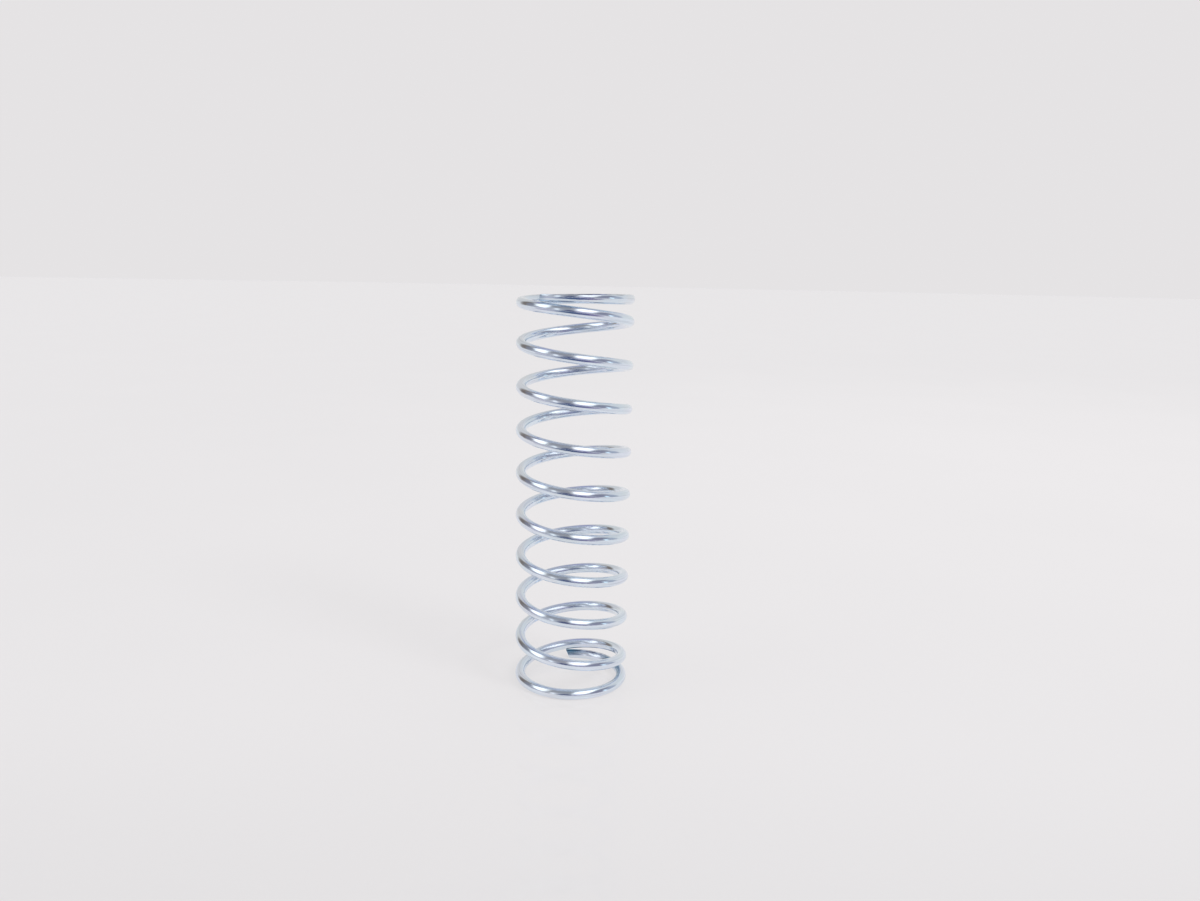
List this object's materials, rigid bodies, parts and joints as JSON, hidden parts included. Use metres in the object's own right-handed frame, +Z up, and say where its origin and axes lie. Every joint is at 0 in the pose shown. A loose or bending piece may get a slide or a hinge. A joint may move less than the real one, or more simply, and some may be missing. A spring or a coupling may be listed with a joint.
{
  "type": "power valve spring",
  "caption": "Left-hand wound compression spring of bright zinc-plated round steel wire, with closed ends ground flat.",
  "frame": {"origin": "centre of the lower ground end, on the coil axis, where the spring stands", "axes": "+Z up along the coil axis, -Y towards the side that the picture shows"},
  "size_m": [0.014, 0.014, 0.048],
  "materials": {
    "zinc_wire": "bright zinc plating with a pale blue tint"
  },
  "bodies": {
    "root": {"coil_spring": "zinc_wire"}
  },
  "joints": []
}
